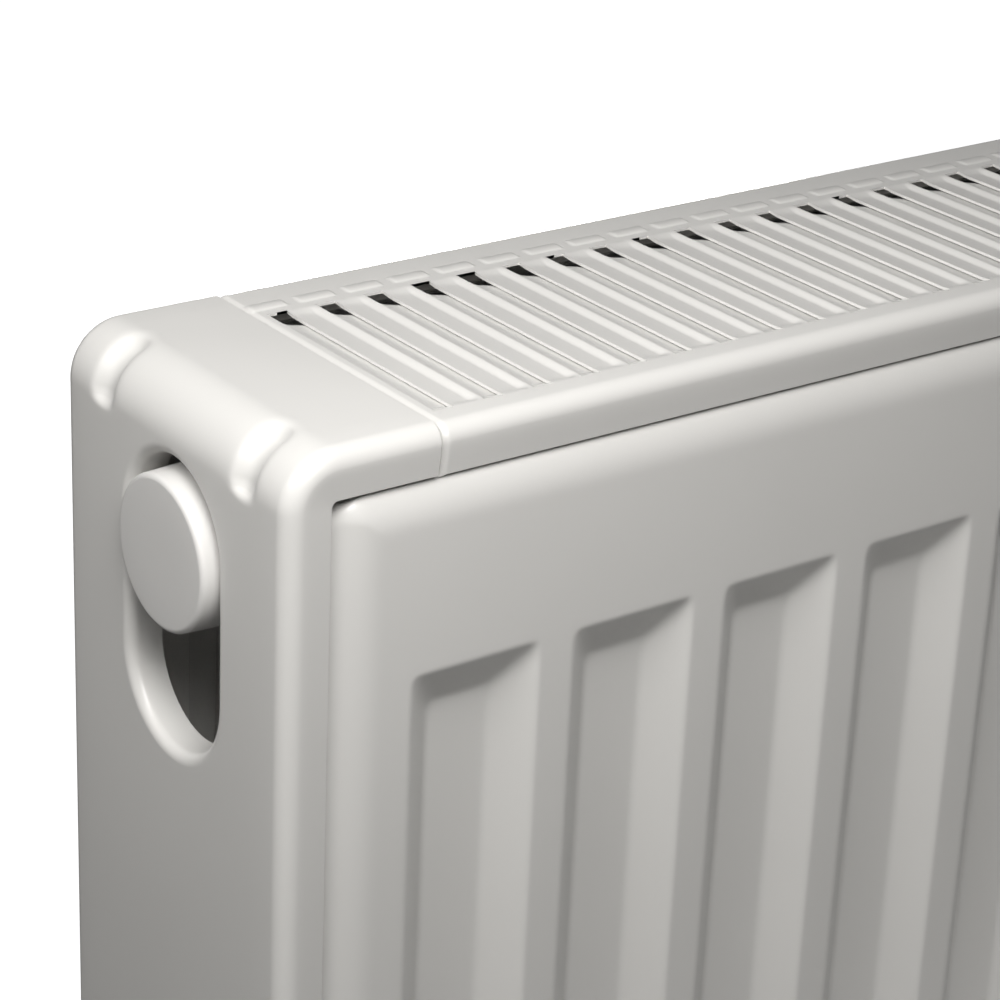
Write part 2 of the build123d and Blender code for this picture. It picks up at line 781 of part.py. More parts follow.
def hanging_lug(x, floor):
    """Strap welded on the rear panel, open below and closed on top."""
    half = lug_inner_width / 2
    strap = rear_face_y + lug_inner_depth
    top = floor + lug_height
    body = block(x - half - lug_sheet, x + half + lug_sheet, rear_face_y, strap + lug_sheet, floor, top)
    foot = half + lug_sheet + lug_foot
    body += block(x - foot, x + foot, rear_face_y, rear_face_y + lug_sheet, floor, top)
    return body - block(x - half, x + half, rear_face_y, strap, floor, top - lug_sheet)


def bracket_sleeve(x, floor):
    """Plastic sleeve on a bracket's finger, inside a lug."""
    half = lug_inner_width / 2 - sleeve_slack
    y0 = rear_face_y + sleeve_slack
    y1 = rear_face_y + lug_inner_depth - sleeve_slack
    ceiling = floor + lug_height - lug_sheet
    body = block(x - half, x + half, y0, y1, floor, ceiling)
    middle = (y0 + y1) / 2
    slot = (finger_depth + sleeve_slack) / 2
    side = (bracket_sheet + sleeve_slack) / 2
    return body - block(x - side, x + side, middle - slot, middle + slot, floor, ceiling - finger_drop)


def wall_bracket():
    """Right bracket: an angle on the wall with a finger for each lug."""
    x = lug_offset
    half = bracket_sheet / 2
    top = bracket_hole_spacing / 2 + bracket_top_margin
    low = lug_floors()[1] - arm_gap - arm_height
    inner = x + half - bracket_leg
    body = block(inner, x + half, -bracket_sheet, 0, low, top)
    body += block(x - half, x + half, -bracket_reach, 0, low, top)
    middle = rear_face_y + lug_inner_depth / 2
    for floor in lug_floors():
        arm = floor - arm_gap
        finger_top = floor + lug_height - lug_sheet - finger_drop
        front = middle - finger_depth / 2
        body += block(x - half, x + half, front, -bracket_reach, arm - arm_height, arm)
        body += block(x - half, x + half, front, middle + finger_depth / 2, arm - arm_height, finger_top)
    hole = Rot(90, 0, 0) * extrude(SlotOverall(bracket_slot_length, 2 * bracket_hole_radius), bracket_sheet + 2)
    centre = (inner + x - half) / 2
    for z in (bracket_hole_spacing / 2, -bracket_hole_spacing / 2):
        body -= Pos(centre, 1, z) * hole
    return body


def pieces():
    """Every piece by name."""
    sheet = pressed_sheet()
    turned = mirror(sheet, about=Plane.XZ)
    fins = convector()
    fins_turned = mirror(fins, about=Plane.XZ)
    cover = side_cover()
    bracket = wall_bracket()
    plug = blanking_plug()
    upper, lower = axis_z, -axis_z
    lugs = [(x, floor) for x in (-lug_offset, lug_offset) for floor in lug_floors()]
    return {
        "front_panel_outer_sheet": Pos(0, front_face_y, 0) * sheet,
        "front_panel_inner_sheet": inner_sheet(Pos(0, front_inner_y, 0) * turned, front_mid_y, front_inner_y),
        "rear_panel_inner_sheet": inner_sheet(Pos(0, rear_inner_y, 0) * sheet, rear_inner_y, rear_mid_y),
        "rear_panel_outer_sheet": Pos(0, rear_face_y, 0) * turned,
        "front_convector": Pos(0, front_inner_y, 0) * fins,
        "rear_convector": Pos(0, rear_inner_y, 0) * fins_turned,
        "left_side_cover": cover,
        "right_side_cover": mirror_x(cover),
        "top_grille": top_grille(),
        "grille_clips": grille_clips(),
        "cover_clips": cover_clips(),
        "valve_tee": valve_tee(),
        "vent_tee": tee(end_x - tee_depth, end_x - boss_recess, upper),
        "lower_left_tee": tee(tee_depth - end_x, boss_recess - end_x, lower),
        "lower_right_tee": tee(end_x - tee_depth, end_x - boss_recess, lower),
        "return_tee": return_tee(),
        "return_nipple": return_nipple(),
        "feed_nipple": feed_nipple(),
        "connection_bridge": connection_bridge(),
        "riser_tube": riser_tube(),
        "valve_insert_body": insert_body(),
        "valve_insert_seal": washer(left_rod, upper),
        "gland_nut": gland_nut(),
        "valve_pin": valve_pin(),
        "valve_disc": valve_disc(),
        "valve_spring": valve_spring(),
        "presetting_ring": presetting_ring(),
        "protective_cap": protective_cap(),
        "vent_plug": vent_plug(),
        "vent_plug_seal": washer(right_rod, upper),
        "vent_screw": vent_screw(),
        "vent_nozzle": vent_nozzle(),
        "blanking_plugs": Compound(children=[plug, mirror_x(plug)]),
        "plug_seals": Compound(children=[washer(left_rod, lower), washer(right_rod, lower)]),
        "hanging_lugs": Compound(children=[hanging_lug(x, floor) for x, floor in lugs]),
        "bracket_sleeves": Compound(children=[bracket_sleeve(x, floor) for x, floor in lugs]),
        "left_wall_bracket": mirror_x(bracket),
        "right_wall_bracket": bracket,
    }


def main():
    os.makedirs("parts", exist_ok=True)
    for name, shape in pieces().items():
        export_step(shape, f"parts/{name}.step")


if __name__ == "__main__":
    main()
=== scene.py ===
"""Looks of the panel radiator: smooth painted sheets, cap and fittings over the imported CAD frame."""

import json
import math

import bmesh
import bpy
from mathutils import Matrix, Vector


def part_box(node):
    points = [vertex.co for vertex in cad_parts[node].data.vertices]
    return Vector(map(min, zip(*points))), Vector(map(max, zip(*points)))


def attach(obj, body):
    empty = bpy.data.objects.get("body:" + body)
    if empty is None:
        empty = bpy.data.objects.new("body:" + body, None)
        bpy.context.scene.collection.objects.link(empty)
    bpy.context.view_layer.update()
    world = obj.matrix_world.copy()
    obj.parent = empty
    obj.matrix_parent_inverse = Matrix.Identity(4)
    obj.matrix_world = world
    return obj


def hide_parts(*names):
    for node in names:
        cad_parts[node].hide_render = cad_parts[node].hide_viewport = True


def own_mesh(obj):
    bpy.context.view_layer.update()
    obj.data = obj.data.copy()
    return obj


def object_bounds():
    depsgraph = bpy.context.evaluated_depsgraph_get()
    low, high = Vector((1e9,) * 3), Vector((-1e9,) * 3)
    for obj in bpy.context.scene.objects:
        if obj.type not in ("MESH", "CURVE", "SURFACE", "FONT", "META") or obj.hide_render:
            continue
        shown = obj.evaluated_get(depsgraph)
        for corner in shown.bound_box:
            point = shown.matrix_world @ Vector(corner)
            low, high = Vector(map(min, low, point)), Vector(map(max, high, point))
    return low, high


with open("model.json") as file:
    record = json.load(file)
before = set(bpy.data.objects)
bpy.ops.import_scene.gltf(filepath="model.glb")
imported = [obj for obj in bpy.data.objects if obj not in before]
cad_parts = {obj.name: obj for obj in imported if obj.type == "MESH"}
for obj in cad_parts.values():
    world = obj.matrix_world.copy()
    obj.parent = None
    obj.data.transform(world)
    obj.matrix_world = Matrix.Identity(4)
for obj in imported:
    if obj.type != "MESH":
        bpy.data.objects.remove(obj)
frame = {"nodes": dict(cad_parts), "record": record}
cad_bounds = [list(corner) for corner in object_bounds()]

MM = 0.001


def box_mm(node):
    """Corners of a CAD node in millimetres."""
    low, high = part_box(node)
    return [v / MM for v in low], [v / MM for v in high]


# Places read from the frame, in millimetres
(panel_x0, panel_face_y, panel_z0), (panel_x1, panel_seam_y, panel_z1) = box_mm("front_panel_outer_sheet")
(cover_face_x, cover_front_y, cover_z0), (seam_x, cover_rear_y, cover_z1) = box_mm("left_side_cover")
(grille_x0, grille_front_y, grille_low_z), (grille_x1, grille_rear_y, _) = box_mm("top_grille")
(cap_x0, cap_y0, cap_z0), (cap_x1, cap_y1, cap_z1) = box_mm("protective_cap")
rear_face_y = box_mm("rear_panel_outer_sheet")[1][1]
axis_y = (cap_y0 + cap_y1) / 2
axis_z = (cap_z0 + cap_z1) / 2

# Pressed panel sheets, in millimetres. Runs are how wide a slope is, and softs how far its ends are rounded
press_depth = 8.0
seam_lip = 3.0
face_round = 18.0
face_margin = 1.0
panel_corner = 14.0
least_corner = 1.0
groove_pitch = 50.0
groove_count = 17
groove_mouth = 39.0
wall_run = 10.0
end_run = 12.5
groove_end = 248.0
panel_tuck = 9.0
flange_gap = 1.5
rear_rise = 4.0
mouth_soft = 0.8
floor_soft = 1.1
corner_soft = 3.2

# Grid lines of the pressed face, closer together where the sheet bends: distances from a groove's middle,
# and inwards from its end
groove_columns = [0, 4, 7, 7.8, 8.5, 9.2, 9.9, 10.6, 11.3, 12.1, 13, 14.4, 16, 17.2,
                  18, 18.7, 19.4, 20.1, 20.8, 21.6, 23]
groove_end_rows = [-14, -7, -4, -2.6, -1.8, -1.1, -0.5, 0.1, 0.7, 1.4, 2.4, 4, 6, 8,
                   9.6, 10.6, 11.2, 11.8, 12.4, 13, 13.7, 15, 18, 30, 60, 100, 160, 210]
corner_steps = 8
round_steps = 12

# Flanges of the covers and the grille, which lean inwards from lean_start below the top
flange = 13.1
flange_lean = 0.9
lean_start = 5.0
lean_run = 8.0
cover_flange_lines = (flange, 11.5, 10, 8.5, 6.8)
grille_flange_lines = (11, 9.5, 8, 6.5)

# Side covers. A patch is the flat stretch round a slot, which is filled after the slot is in
cover_sheet = 1.0
bend = 15.0
side_round = 5.0
slot_half = 21.5
slot_straight = 37.5
slot_top_gap = 0.5
roll = 3.0
rim_depth = 10.0
patch_half = 25.8
patch_edge_z = 200.0
patch_foot = 1.5
roll_margin = 0.25
dimple_inset = 20.0
dimple_reach = 5.2
dimple_depth = 2.5
dimple_start = 3.0
dimple_stop = 16.5
dimple_soft = 0.35
dimple_skirt = 1.5
dimple_fade = 1.2
dimple_field = 12.0

# Grid lines of a cover
patch_columns = 12
patch_rows = 12
middle_rows = 5
dimple_rows = 18
dimple_columns = 12
dimple_column_gap = 0.6
least_column_gap = 0.15
bend_steps = 40
top_lines = (1.2, 2.4, 4, 6, 9, 14, 20)
slot_arc_steps = 28
slot_side_steps = 12
roll_steps = 10
rim_lines = (4.0, 7.0, rim_depth)

# Top grille. A slat is the sheet between two openings, and a blade leans down into an opening from its left
grille_sheet = 0.8
grille_drop = 0.4
grille_round = 4.5
joggle = 3.0
joggle_run = 1.8
grille_step = 0.6
seam_groove = 3.0
seam_groove_run = 1.2
pitch = 15.0
opening = 6.0
slot_count = 55
slot_front = 10.0
slot_length = 75.5
edge_fall = 0.3
valley = 0.95
valley_place = 0.72
slat_front_run = 3.6
slat_rear_run = 4.6
blade_width = 6.6
blade_tilt = math.radians(12)
blade_front_run = 3.4
blade_bend = 0.25
blade_drop = 0.1
blade_edge = 0.25
blade_edge_drop = 0.05
blade_edge_sink = 0.2
tongue_sink = 4.5
tongue_bend = 0.2
tongue_start = 67.0
tongue_run = 7.0
pad_width = 11.5
pad_length = 4.6
pad_rise = 0.4
pad_gap = 3.0
pad_corner = 1.0
pad_wall = 0.5
pad_soft = 0.6

# Grid lines of the grille. slat_columns and blade_columns are shares of the width
joggle_lines = 6
joggle_end = 0.3
seam_lines = 4
beside_opening = (1.5, 4.5, 7.0)
pad_lines = (-0.7, -0.25, 0.2, 0.6)
pad_rows = (-0.6, -0.2, 0.25, 0.7, 2.3, 3.9, 4.35, 4.8, 5.2)
slat_rows = [0, 0.6, 1.2, 1.9, 2.7, 3.6, 5, 9, 20, 37, 55, 66.5, 70.5, 71.9, 72.8, 73.6, 74.3, 74.9,
             slot_length]
slat_columns = [0, 0.2, 0.45, 0.62, 0.68, 0.72, 0.76, 0.8, 0.84, 0.88, 0.92, 0.96, 1]
blade_rows = [1.2, 2.2, 3.4, 5, 9, 16, 24, 32, 40, 48, 56, 60, 63, 65, 66.5, 68, 69.2, 70.2, 71, 71.7,
              72.5, 73.4, 74.4]
blade_columns = [0.12, 0.25, 0.45, 0.7, 1.0]

# Protective cap
skirt_step = 0.5
cap_bore = 15.1
cap_wall = 2.6
cap_round = 1.6
cap_taper = 0.05
cap_flat = 10.0
skirt_round = 0.4
boss_radius = 4.0
boss_reach = 4.2
turned_steps = 160
cap_round_steps = 10
skirt_round_steps = 4

# Angles in degrees above which an edge is shaded sharp
crease_panel = 30.0
crease_cover = 40.0
crease_grille = 35.0
crease_cap = 35.0
crease_fitting = 32.0

# Distances below which two numbers or points are the same, in millimetres
same_line = 1e-6
same_column = 1e-4
same_place = 0.01


# Small maths

def ramp(t, low_soft, high_soft):
    """0 below t = 0 and 1 above t = 1, with rounded corners."""
    if t <= -low_soft:
        return 0.0
    if t < low_soft:
        return (t + low_soft) ** 2 / (4 * low_soft)
    if t >= 1 + high_soft:
        return 1.0
    if t > 1 - high_soft:
        return 1 - (1 + high_soft - t) ** 2 / (4 * high_soft)
    return t


def soft_min(a, b, width):
    """The smaller of two numbers, rounded where they are close."""
    near = max(width - abs(a - b), 0.0) / width
    return min(a, b) - near * near * width / 4


def soft_step(t):
    """Smooth step from 0 to 1."""
    t = min(max(t, 0.0), 1.0)
    return t * t * (3 - 2 * t)


def mirrored(values):
    """The same offsets on both sides of 0, in order."""
    return sorted({-v for v in values} | set(values))


def spaced(values, least, kept=()):
    """The values in order, without those within least of the one before, unless they are to be kept."""
    ordered = sorted(values)
    return [v for i, v in enumerate(ordered) if i == 0 or v - ordered[i - 1] > least or v in kept]


def quarter(steps):
    """Angles of a quarter turn, both ends included."""
    return [math.pi / 2 * k / steps for k in range(steps + 1)]


def lean(h):
    """How far a flange has leaned in at h below the top."""
    return flange_lean * (h - lean_start) / lean_run


def grid_faces(base, columns, rows):
    """Faces of a grid whose points run row by row from the point at base."""
    faces = []
    for j in range(rows - 1):
        for i in range(columns - 1):
            a = base + j * columns + i
            faces.append((a, a + 1, a + columns + 1, a + columns))
    return faces


# Materials. The grain's height is in metres

slow_scale = 22.0
slow_detail = 3.0
slow_range = (0.3, 0.7)
gloss_change = 0.12
tone_change = 0.015
coat_roughness = 0.12
grain_detail = 2.0
grain_height = 0.0002
sheet_white = (0.80, 0.79, 0.77)


def material(name, color, roughness, grain, grain_size, metallic=0.0, coat=0.0):
    """Surface with a fine grain and a slow change of gloss and tone."""
    mat = bpy.data.materials.new(name)
    mat.use_nodes = True
    nodes, links = mat.node_tree.nodes, mat.node_tree.links
    shader = nodes["Principled BSDF"]
    shader.inputs["Metallic"].default_value = metallic
    shader.inputs["Coat Weight"].default_value = coat
    shader.inputs["Coat Roughness"].default_value = coat_roughness
    place = nodes.new("ShaderNodeTexCoord")

    slow = nodes.new("ShaderNodeTexNoise")
    slow.inputs["Scale"].default_value = slow_scale
    slow.inputs["Detail"].default_value = slow_detail
    links.new(place.outputs["Object"], slow.inputs["Vector"])
    gloss = nodes.new("ShaderNodeMapRange")
    gloss.inputs["From Min"].default_value = slow_range[0]
    gloss.inputs["From Max"].default_value = slow_range[1]
    gloss.inputs["To Min"].default_value = roughness * (1 - gloss_change)
    gloss.inputs["To Max"].default_value = roughness * (1 + gloss_change)
    links.new(slow.outputs["Fac"], gloss.inputs["Value"])
    links.new(gloss.outputs["Result"], shader.inputs["Roughness"])
    tone = nodes.new("ShaderNodeMix")
    tone.data_type = "RGBA"
    tone.inputs["A"].default_value = (*[c * (1 - tone_change) for c in color], 1)
    tone.inputs["B"].default_value = (*[c * (1 + tone_change) for c in color], 1)
    links.new(slow.outputs["Fac"], tone.inputs["Factor"])
    links.new(tone.outputs["Result"], shader.inputs["Base Color"])

    noise = nodes.new("ShaderNodeTexNoise")
    noise.inputs["Scale"].default_value = grain_size
    noise.inputs["Detail"].default_value = grain_detail
    bump = nodes.new("ShaderNodeBump")
    bump.inputs["Strength"].default_value = grain
    bump.inputs["Distance"].default_value = grain_height
    links.new(place.outputs["Object"], noise.inputs["Vector"])
    links.new(noise.outputs["Fac"], bump.inputs["Height"])
    links.new(bump.outputs["Normal"], shader.inputs["Normal"])
    return mat


def enamel(name, color, roughness, coat=0.25):
    """Sprayed and baked enamel, with its fine orange peel."""
    return material(name, color, roughness, grain=0.12, grain_size=260.0, coat=coat)


def plastic(name, color, roughness, grain_size=600.0):
    """Moulded plastic."""
    return material(name, color, roughness, grain=0.1, grain_size=grain_size)


def metal(name, color, roughness, grain=0.1, grain_size=900.0):
    """Turned metal."""
    return material(name, color, roughness, grain=grain, grain_size=grain_size, metallic=1.0)


def rubber(name, color, roughness):
    """Soft rubber of the seals."""
    return material(name, color, roughness, grain=0.2, grain_size=800.0)


materials = {
    "enamel": enamel("enamel", sheet_white, 0.36),
    "cover_enamel": enamel("cover_enamel", sheet_white, 0.38),
    "clip_plastic": plastic("clip_plastic", (0.70, 0.70, 0.68), 0.5),
    "brass": metal("brass", (0.72, 0.53, 0.26), 0.28, grain=0.15, grain_size=700.0),
    "pin_steel": metal("pin_steel", (0.62, 0.62, 0.63), 0.25),
    "seal_rubber": rubber("seal_rubber", (0.03, 0.03, 0.03), 0.7),
    "ring_plastic": plastic("ring_plastic", (0.62, 0.62, 0.60), 0.5),
    "cap_plastic": plastic("cap_plastic", (0.80, 0.79, 0.775), 0.42, grain_size=500.0),
    "nickel": metal("nickel", (0.70, 0.67, 0.62), 0.22),
    "bracket_enamel": enamel("bracket_enamel", (0.78, 0.77, 0.75), 0.4, coat=0.2),
    "sleeve_plastic": plastic("sleeve_plastic", (0.05, 0.05, 0.05), 0.5),
}
node_slot = {part["node"]: part["material_slot"] for part in frame["record"]["subparts"]}
node_body = {}
for body, names in frame["record"]["behaviour"]["bodies"].items():
    for node in names:
        node_body[node] = body
for node, obj in frame["nodes"].items():
    obj.data.materials.clear()
    obj.data.materials.append(materials[node_slot[node]])


# Pieces. These two lengths are in metres

merge_distance = 1e-6
degenerate_length = 1e-7


def thickened(mesh, sheet):
    """The mesh as a sheet of the given thickness, behind its outside."""
    holder = bpy.data.objects.new("sheet", mesh)
    bpy.context.collection.objects.link(holder)
    thicken = holder.modifiers.new("sheet", "SOLIDIFY")
    thicken.thickness = sheet * MM
    thicken.offset = -1.0
    thicken.use_even_offset = True
    bpy.context.view_layer.update()
    solid = bpy.data.meshes.new_from_object(holder.evaluated_get(bpy.context.evaluated_depsgraph_get()))
    bpy.data.objects.remove(holder)
    return solid


def finish_piece(name, mesh, node, crease, sheet=0.0):
    """Cleans the mesh, shades it smooth up to the crease angle and puts it in place of its node."""
    work = bmesh.new()
    work.from_mesh(mesh)
    bmesh.ops.remove_doubles(work, verts=work.verts, dist=merge_distance)
    bmesh.ops.dissolve_degenerate(work, edges=work.edges, dist=degenerate_length)
    work.to_mesh(mesh)
    work.free()
    if sheet:
        mesh = thickened(mesh, sheet)
    mesh.shade_smooth()
    mesh.set_sharp_from_angle(angle=math.radians(crease))
    obj = bpy.data.objects.new(name, mesh)
    bpy.context.collection.objects.link(obj)
    slot = node_slot[node]
    mesh.materials.append(materials[slot])
    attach(obj, node_body[node])
    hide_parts(node)
    return obj


def piece(name, points, faces, node, crease, sheet=0.0):
    """A mesh piece that stands for a CAD node. Points are in millimetres."""
    mesh = bpy.data.meshes.new(name)
    mesh.from_pydata([(x * MM, y * MM, z * MM) for x, y, z in points], [], faces)
    finish_piece(name, mesh, node, crease, sheet)


# Pressed panel sheets

panel_half = (panel_x1 - panel_x0) / 2
panel_top = panel_z1 + panel_tuck
face_inset = seam_lip + face_round + face_margin


def groove_depth(x, z):
    """Depth of the pressed face at a place, 0 on the face."""
    from_middle = abs((x + groove_pitch / 2) % groove_pitch - groove_pitch / 2)
    if abs(x) > groove_pitch * groove_count / 2:
        return 0.0
    across = (groove_mouth / 2 - from_middle) / wall_run
    along = (groove_end - abs(z)) / end_run
    t = soft_min(across, along, corner_soft / wall_run)
    return press_depth * ramp(t, mouth_soft / wall_run, floor_soft / wall_run)


def face_columns():
    """X of the face's grid lines."""
    lines = []
    for i in range(groove_count):
        middle = (i - (groove_count - 1) / 2) * groove_pitch
        lines += [middle + v for v in mirrored(groove_columns)] + [middle + groove_pitch / 2]
    return [face_inset - panel_half] + lines[:-1] + [panel_half - face_inset]


def face_rows():
    """Z of the face's grid lines."""
    lines = mirrored([0] + [groove_end - v for v in groove_end_rows])
    return [panel_z0 + face_inset] + lines + [panel_top - face_inset]


def grid_border(columns, rows):
    """Points round the border of a grid, clockwise from its top left. Each corner stands for a whole arc."""
    sides = (
        [(rows - 1) * columns + i for i in range(columns)],
        [j * columns + columns - 1 for j in reversed(range(rows))],
        list(reversed(range(columns))),
        [j * columns for j in range(rows)],
    )
    border = []
    for side in sides:
        border += side + [side[-1]] * (corner_steps - 1)
    return border


def panel_ring(inset, y, gap, xs, zs):
    """One ring round the sheet, in step with the border of the face's grid."""
    radius = max(panel_corner + seam_lip - inset, least_corner) if inset > seam_lip else panel_corner
    wide = panel_half - inset
    high = min(panel_top - inset, panel_z1 - gap)
    low = panel_z0 + inset
    corner_x = wide - radius
    corner_high = high - radius
    corner_low = low + radius
    level = [x * corner_x / (panel_half - face_inset) for x in xs]
    share = (high - low - 2 * radius) / (zs[-1] - zs[0])
    upright = [corner_low + (z - zs[0]) * share for z in zs]
    turns = [(radius * math.sin(a), radius * math.cos(a)) for a in quarter(corner_steps)[1:-1]]
    ring = [(x, y, high) for x in level]
    ring += [(corner_x + s, y, corner_high + c) for s, c in turns]
    ring += [(wide, y, z) for z in reversed(upright)]
    ring += [(corner_x + c, y, corner_low - s) for s, c in turns]
    ring += [(x, y, low) for x in reversed(level)]
    ring += [(-corner_x - s, y, corner_low - c) for s, c in turns]
    ring += [(-wide, y, z) for z in upright]
    ring += [(-corner_x - c, y, corner_high + s) for s, c in turns]
    return ring


def panel_edge():
    """Inset and depth of each ring, from the face's round to the seam."""
    start = math.asin(1 - press_depth / face_round)
    angles = [start + (math.pi / 2 - start) * k / round_steps for k in range(round_steps, -1, -1)]
    rings = [(seam_lip + face_round * (1 - math.cos(a)), face_round * (1 - math.sin(a))) for a in angles]
    return rings + [(0.0, press_depth), (0.0, panel_seam_y - panel_face_y)]


def panel_skin(gap):
    """Points and faces of an outer panel sheet with its face at Y = 0. It ends gap below the panel's top, or
    above it where gap is negative.
    """
    xs, zs = face_columns(), face_rows()
    points = [(x, groove_depth(x, z), z) for z in zs for x in xs]
    faces = grid_faces(0, len(xs), len(zs))
    before = grid_border(len(xs), len(zs))
    for inset, y in panel_edge():
        base = len(points)
        points += panel_ring(inset, y, gap, xs, zs)
        now = list(range(base, len(points)))
        for k in range(len(now)):
            corners = dict.fromkeys((before[k], before[k - 1], now[k - 1], now[k]))
            if len(corners) > 2:
                faces.append(tuple(corners))
        before = now
    return points, faces


front_points, front_faces = panel_skin(flange_gap)
front_points = [(x, panel_face_y + y, z) for x, y, z in front_points]
piece("front_panel_skin", front_points, front_faces, "front_panel_outer_sheet", crease_panel)
rear_points, rear_faces = panel_skin(-rear_rise)
rear_points = [(x, rear_face_y - y, z) for x, y, z in rear_points]
rear_faces = [face[::-1] for face in rear_faces]
piece("rear_panel_skin", rear_points, rear_faces, "rear_panel_outer_sheet", crease_panel)


# Side covers

slot_top_z = cover_z1 - bend - slot_top_gap - roll - slot_half
slot_low_z = slot_top_z - slot_straight
bend_x = cover_face_x + bend
bend_z = cover_z1 - bend
dimple_places = (cover_front_y + dimple_inset, cover_rear_y - dimple_inset)
patch_y0, patch_y1 = axis_y - patch_half, axis_y + patch_half
upper_patch_z = (patch_edge_z, bend_z)
lower_patch_z = (cover_z0 + patch_foot, -patch_edge_z)


def stadium(radius, x, sign):
    """Closed round-ended loop round the upper slot, or the lower one for sign -1."""
    turns = [math.pi * k / slot_arc_steps for k in range(slot_arc_steps + 1)]
    drops = [slot_straight * k / slot_side_steps for k in range(1, slot_side_steps)]
    loop = [(axis_y - radius * math.cos(a), slot_top_z + radius * math.sin(a)) for a in turns]
    loop += [(axis_y + radius, slot_top_z - v) for v in drops]
    loop += [(axis_y + radius * math.cos(a), slot_low_z - radius * math.sin(a)) for a in turns]
    loop += [(axis_y - radius, slot_low_z + v) for v in drops]
    return [(x, y, z * sign) for y, z in loop]


def dimple(along, y):
    """Depth of the two pressed dimples at a place on the bend."""
    past = max(dimple_start - along, along - dimple_stop, 0.0)
    depth = 0.0
    for place in dimple_places:
        raw = 1 - ((y - place) ** 2 + past * past) / dimple_reach**2
        soft = (raw + math.sqrt(raw * raw + dimple_soft**2)) / 2
        depth += dimple_depth * soft * soft_step((raw + dimple_skirt) / dimple_fade)
    return depth


def along_bend(x, z):
    """Way along the sheet from the bend's foot. Below the foot it counts about double."""
    if x >= bend_x:
        return bend * math.pi / 2 + x - bend_x
    return bend * math.atan2(z - bend_z, bend_x - x) + min(z - bend_z, 0.0)


def cover_path():
    """Rows of the cover from its foot over the bend to the seam: x, z and the way inwards."""
    low, high = -patch_edge_z, patch_edge_z
    field_z = bend_z - dimple_field
    heights = [cover_z0, cover_z0 + patch_foot]
    heights += [low + (high - low) * k / middle_rows for k in range(middle_rows + 1)]
    heights += [high + (field_z - high) * k / patch_rows for k in range(1, patch_rows)]
    heights += [field_z + dimple_field * k / dimple_rows for k in range(dimple_rows)]
    path = [(cover_face_x, z, 1, 0) for z in heights]
    for a in quarter(bend_steps):
        path.append((bend_x - bend * math.cos(a), bend_z + bend * math.sin(a), math.cos(a), -math.sin(a)))
    path += [(bend_x + v, cover_z1, 0, -1) for v in top_lines]
    path.append((seam_x, cover_z1, 0, -1))
    return path


def cover_profile():
    """Section of the cover from its front flange to its rear one: y and the depth below the outside."""
    front = [(cover_front_y + lean(h), h) for h in cover_flange_lines]
    front += [(cover_front_y + side_round * (1 - math.cos(a)), side_round * (1 - math.sin(a)))
              for a in quarter(round_steps)[:-1]]
    rear = [(cover_front_y + cover_rear_y - y, h) for y, h in reversed(front)]
    lines = {cover_front_y + side_round, axis_y, patch_y0, patch_y1}
    across = [k * dimple_column_gap for k in range(-dimple_columns, dimple_columns + 1)]
    lines |= {place + v for place in dimple_places for v in across}
    lines |= {patch_y0 + (patch_y1 - patch_y0) * k / patch_columns for k in range(patch_columns + 1)}
    flat = [(y, 0.0) for y in spaced(lines, least_column_gap, kept=(patch_y0, patch_y1))]
    return front + flat + [(cover_rear_y - side_round, 0.0)] + rear


def in_patch(y, z, patch_z):
    """Whether a place on the cover's face lies on a slot's patch or its border."""
    inside_y = patch_y0 - same_place < y < patch_y1 + same_place
    return inside_y and patch_z[0] - same_place < z < patch_z[1] + same_place


def cover_skin():
    """Points and faces of the left side cover's outside, without the patches round its slots."""
    path, profile = cover_path(), cover_profile()
    points, faces = [], []
    for x, z, inward_x, inward_z in path:
        for y, h in profile:
            deep = h + dimple(along_bend(x, z), y)
            points.append((x + inward_x * deep, y, z + inward_z * deep))
    width = len(profile)
    for j, ((x, z, _, _), (_, z_next, _, _)) in enumerate(zip(path, path[1:])):
        for i, ((y, h), (y_next, _)) in enumerate(zip(profile, profile[1:])):
            left_out = x == cover_face_x and h == 0 and any(
                in_patch(y, z, patch) and in_patch(y_next, z_next, patch)
                for patch in (upper_patch_z, lower_patch_z))
            if not left_out:
                a = j * width + i
                faces.append((a, a + width, a + width + 1, a + 1))
    return points, faces


def patch_border(work, patch_z):
    """Open edges of the cover's mesh round a patch."""
    border = []
    for edge in work.edges:
        flat = all(abs(v.co.x - cover_face_x) < same_place for v in edge.verts)
        inside = all(in_patch(v.co.y, v.co.z, patch_z) for v in edge.verts)
        if len(edge.link_faces) == 1 and flat and inside:
            border.append(edge)
    return border


def slot_rings():
    """Radius and depth of the rings of a slot, over its rolled edge and down its rim."""
    rings = [(slot_half + roll + roll_margin, 0.0)]
    rings += [(slot_half + roll * (1 - math.sin(a)), roll * (1 - math.cos(a))) for a in quarter(roll_steps)]
    return rings + [(slot_half, depth) for depth in rim_lines]


def add_slot(work, sign, patch_z):
    """Adds a rolled slot to the cover's mesh and fills the patch round it."""
    border = patch_border(work, patch_z)
    mouth, before = [], []
    for radius, depth in slot_rings():
        now = [work.verts.new(p) for p in stadium(radius, cover_face_x + depth, sign)]
        for k in range(len(now)):
            if before:
                quad = [before[k - 1], before[k], now[k], now[k - 1]]
                work.faces.new(quad if sign > 0 else quad[::-1])
            else:
                mouth.append(work.edges.new((now[k - 1], now[k])))
        before = now
    bmesh.ops.triangle_fill(work, use_beauty=True, use_dissolve=False, edges=border + mouth,
                            normal=Vector((-1, 0, 0)))


